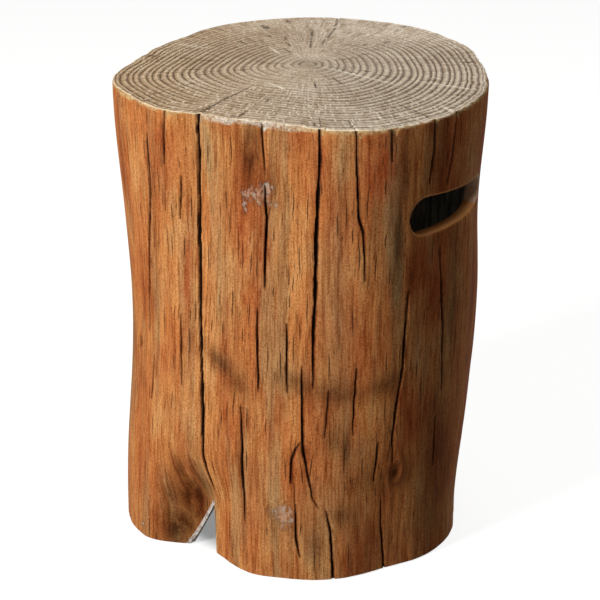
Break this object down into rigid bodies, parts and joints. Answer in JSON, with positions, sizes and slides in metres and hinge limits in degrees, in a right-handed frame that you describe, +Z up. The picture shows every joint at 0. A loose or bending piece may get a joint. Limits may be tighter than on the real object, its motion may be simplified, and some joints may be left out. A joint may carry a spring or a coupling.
{
  "type": "propane tank cover table",
  "caption": "Slip-over cover for a gas cylinder, cast as a sawn tree stump with hand slots, a hose gap and an end-grain top that serves as a side table.",
  "frame": {"origin": "On the floor at the middle of the stump's footprint", "axes": "+Z up, front towards -Y, hand slots to the right front and left rear"},
  "size_m": [0.4244, 0.419, 0.54],
  "materials": {
    "stained_coat": "red-brown stained fibre cement with wood grain, satin",
    "end_grain": "grey-brown stained fibre cement with growth rings, matt",
    "raw_cement": "raw pale cement with glass fibre, rough",
    "rubber": "black moulded rubber"
  },
  "bodies": {
    "root": {"stump_skin": "stained_coat", "backing_wall": "raw_cement", "end_grain_top": "end_grain", "top_backing": "raw_cement", "corner_bead": "raw_cement", "foot_pad_1": "rubber", "foot_pad_2": "rubber", "foot_pad_3": "rubber", "foot_pad_4": "rubber", "foot_pad_5": "rubber", "foot_pad_6": "rubber"}
  },
  "joints": []
}
